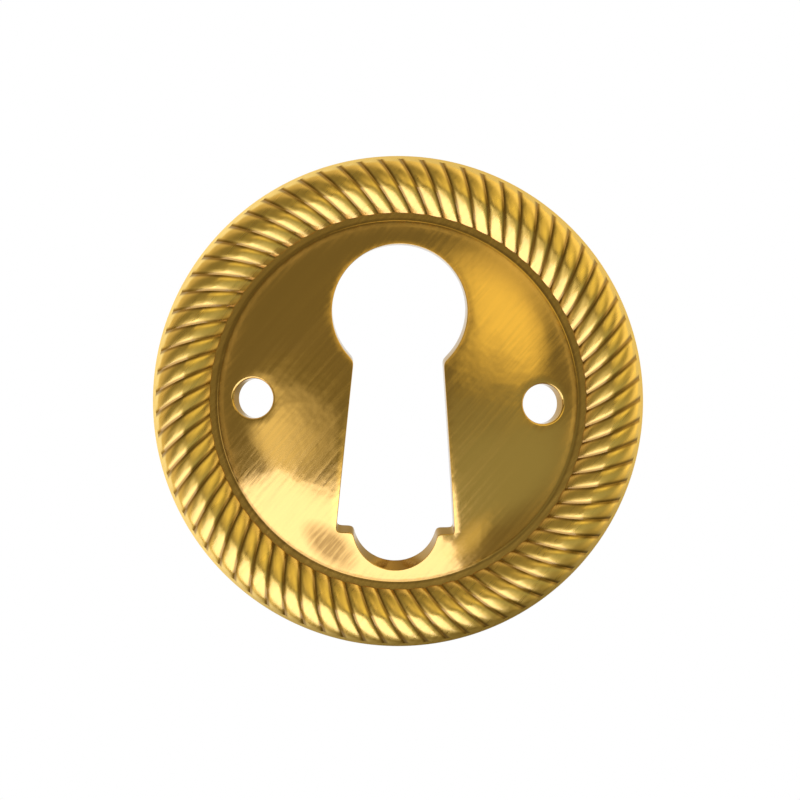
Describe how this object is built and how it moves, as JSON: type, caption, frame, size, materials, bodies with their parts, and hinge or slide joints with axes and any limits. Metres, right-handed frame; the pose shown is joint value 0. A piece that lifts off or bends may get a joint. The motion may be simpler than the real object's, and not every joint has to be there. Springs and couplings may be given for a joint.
{
  "type": "keyhole escutcheon",
  "caption": "Round domed brass keyhole escutcheon with a rope border and two pin holes.",
  "frame": {"origin": "centre of the seat plane at the plate's back, on the plate's axis", "axes": "+X to the right seen from the front, +Z towards the keyhole's round head, front facing -Y"},
  "size_m": [0.032, 0.003, 0.032],
  "materials": {
    "brass": "polished and lacquered, lightly worn"
  },
  "bodies": {
    "root": {"escutcheon_plate": "brass"}
  },
  "joints": []
}
